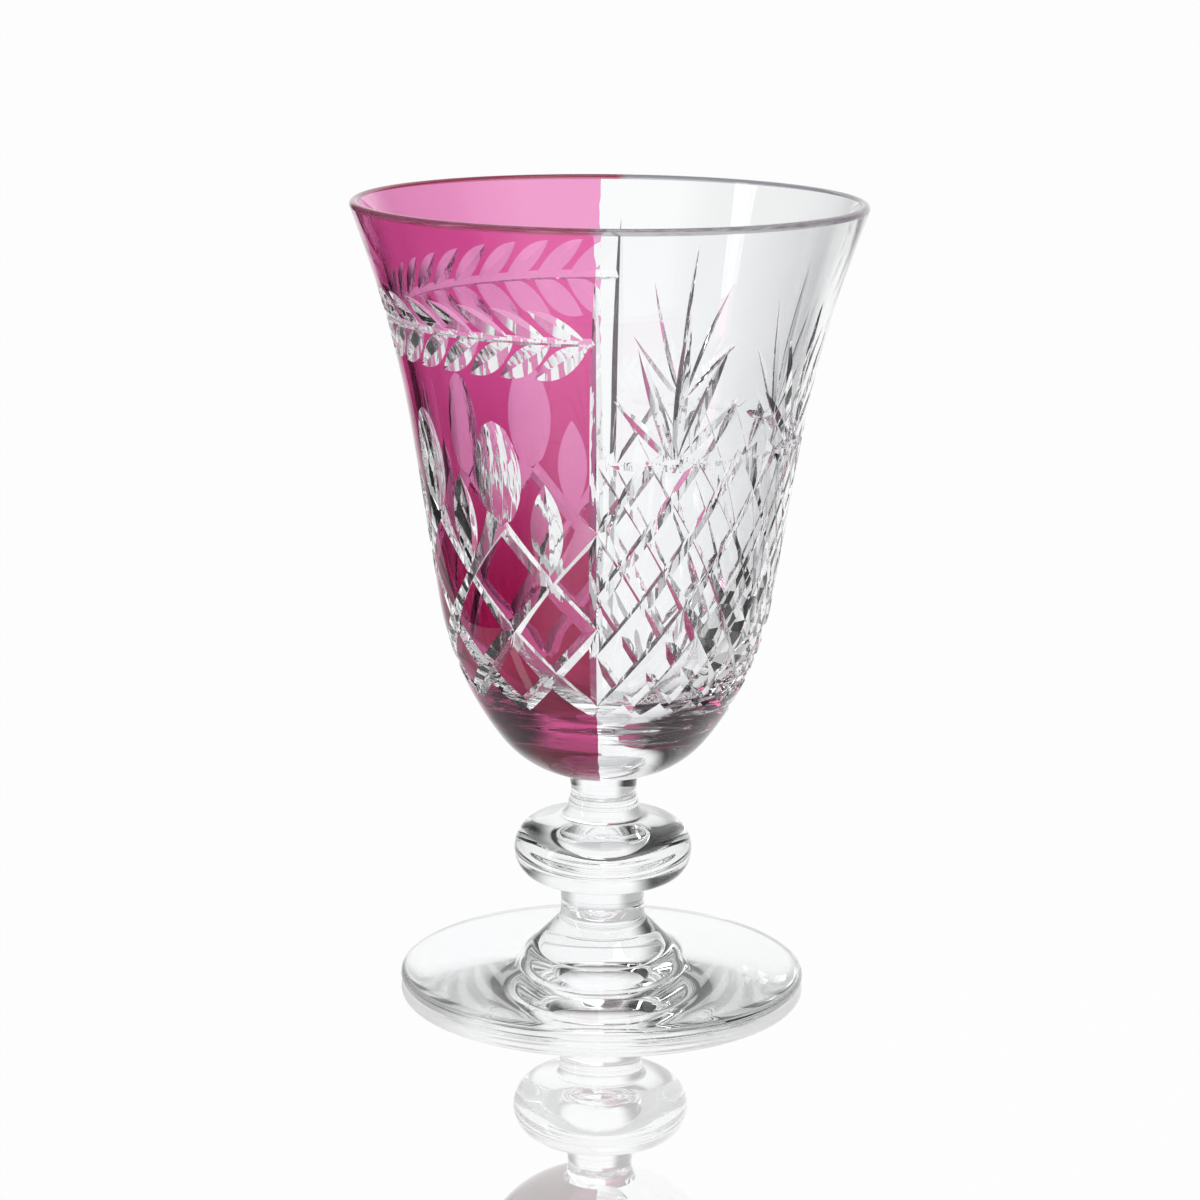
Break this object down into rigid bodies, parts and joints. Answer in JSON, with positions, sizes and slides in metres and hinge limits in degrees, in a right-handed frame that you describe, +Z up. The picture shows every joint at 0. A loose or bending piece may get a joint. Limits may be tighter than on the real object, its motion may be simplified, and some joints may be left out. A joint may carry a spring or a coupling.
{
  "type": "stemmed glass",
  "caption": "Stemmed drinking glass with a flared cut-glass bowl, half clear and half cased in ruby, on a short shank, a flattened round knop and a domed round foot.",
  "frame": {"origin": "centre of the foot's underside, on the plane the glass stands on", "axes": "+Z up along the stem; the seams between the clear and the ruby half face -Y and +Y, and the ruby half is on the -X side"},
  "size_m": [0.0956, 0.0956, 0.1499],
  "materials": {
    "clear_glass_bowl": "fire-polished inside, wheel-cut and polished outside",
    "ruby_glass": "thin flash of ruby glass, polished and cut through",
    "clear_glass_shank": "polished, clear",
    "clear_glass_knop": "polished, clear",
    "clear_glass_collar": "polished, clear",
    "clear_glass_foot": "polished, clear"
  },
  "bodies": {
    "root": {"bowl": "clear_glass_bowl", "ruby_casing": "ruby_glass", "shank": "clear_glass_shank", "knop": "clear_glass_knop", "foot_collar": "clear_glass_collar", "foot": "clear_glass_foot"}
  },
  "joints": []
}
